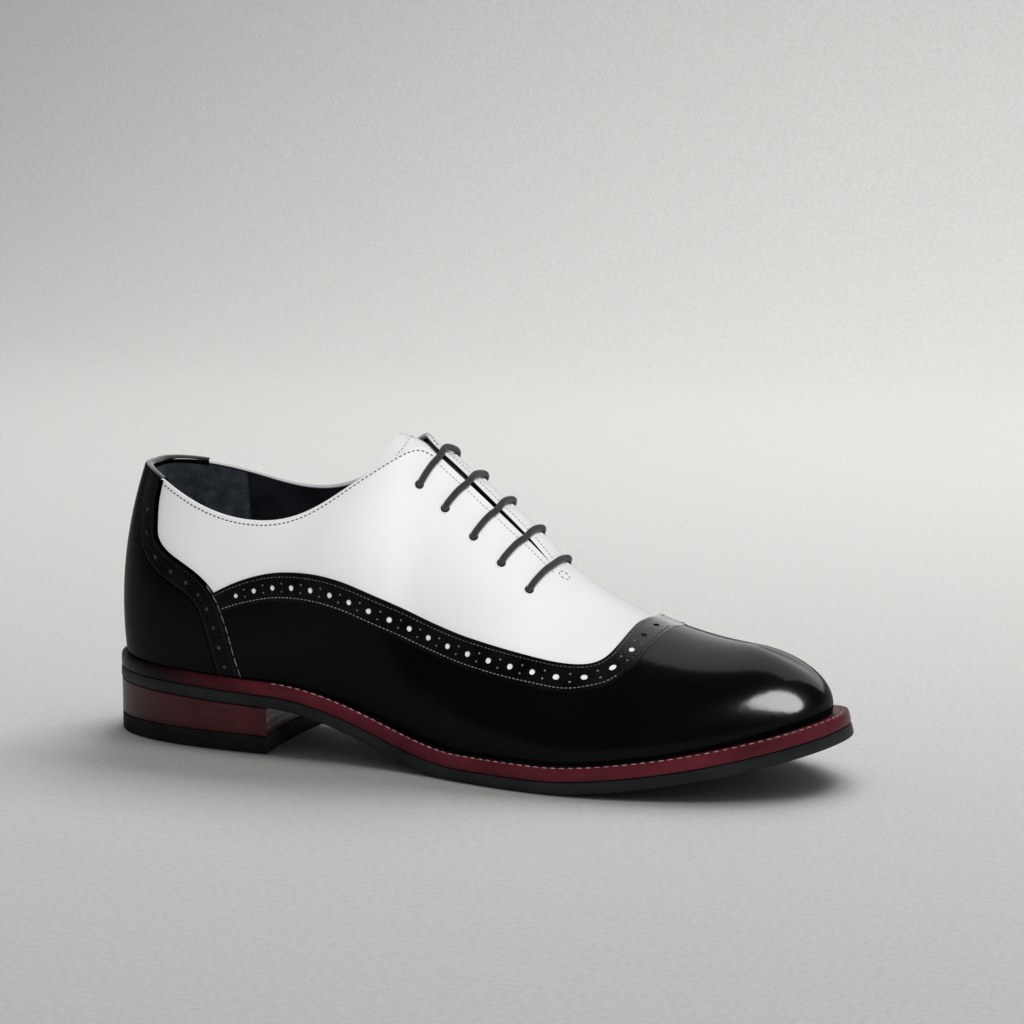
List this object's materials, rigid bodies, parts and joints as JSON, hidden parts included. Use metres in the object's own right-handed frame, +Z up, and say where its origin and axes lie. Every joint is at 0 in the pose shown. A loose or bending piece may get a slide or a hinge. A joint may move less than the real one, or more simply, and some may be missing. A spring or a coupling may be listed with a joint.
{
  "type": "spectator shoe",
  "caption": "Two-tone laced dress shoe for the right foot, white leather with black patent wing and heel counter, hollow upper on a welted sole with a stacked heel.",
  "frame": {"origin": "on the floor, under the middle of the shoe's box", "axes": "+X towards the toe, +Y towards the inner (medial) side, +Z up"},
  "size_m": [0.3019, 0.1027, 0.1233],
  "materials": {
    "top_piece": "matt black rubber",
    "heel_stack": "stacked leather, dark burgundy, polished",
    "outsole": "inked charcoal edge",
    "welt": "burgundy, polished edge, light thread",
    "insole": "dark footbed",
    "white_leather": "smooth white calf, satin",
    "patent_counter": "black patent, mirror gloss",
    "patent_wing": "black patent, mirror gloss",
    "tongue_leather": "smooth white calf, satin",
    "lace": "charcoal round waxed lace"
  },
  "bodies": {
    "root": {"heel_top_piece": "top_piece", "heel_block": "heel_stack", "outsole": "outsole", "welt": "welt", "insole": "insole", "upper": "white_leather", "heel_counter": "patent_counter", "wing_vamp": "patent_wing", "tongue": "tongue_leather", "lace_bar_1": "lace", "lace_bar_2": "lace", "lace_bar_3": "lace", "lace_bar_4": "lace", "lace_bar_5": "lace"}
  },
  "joints": []
}
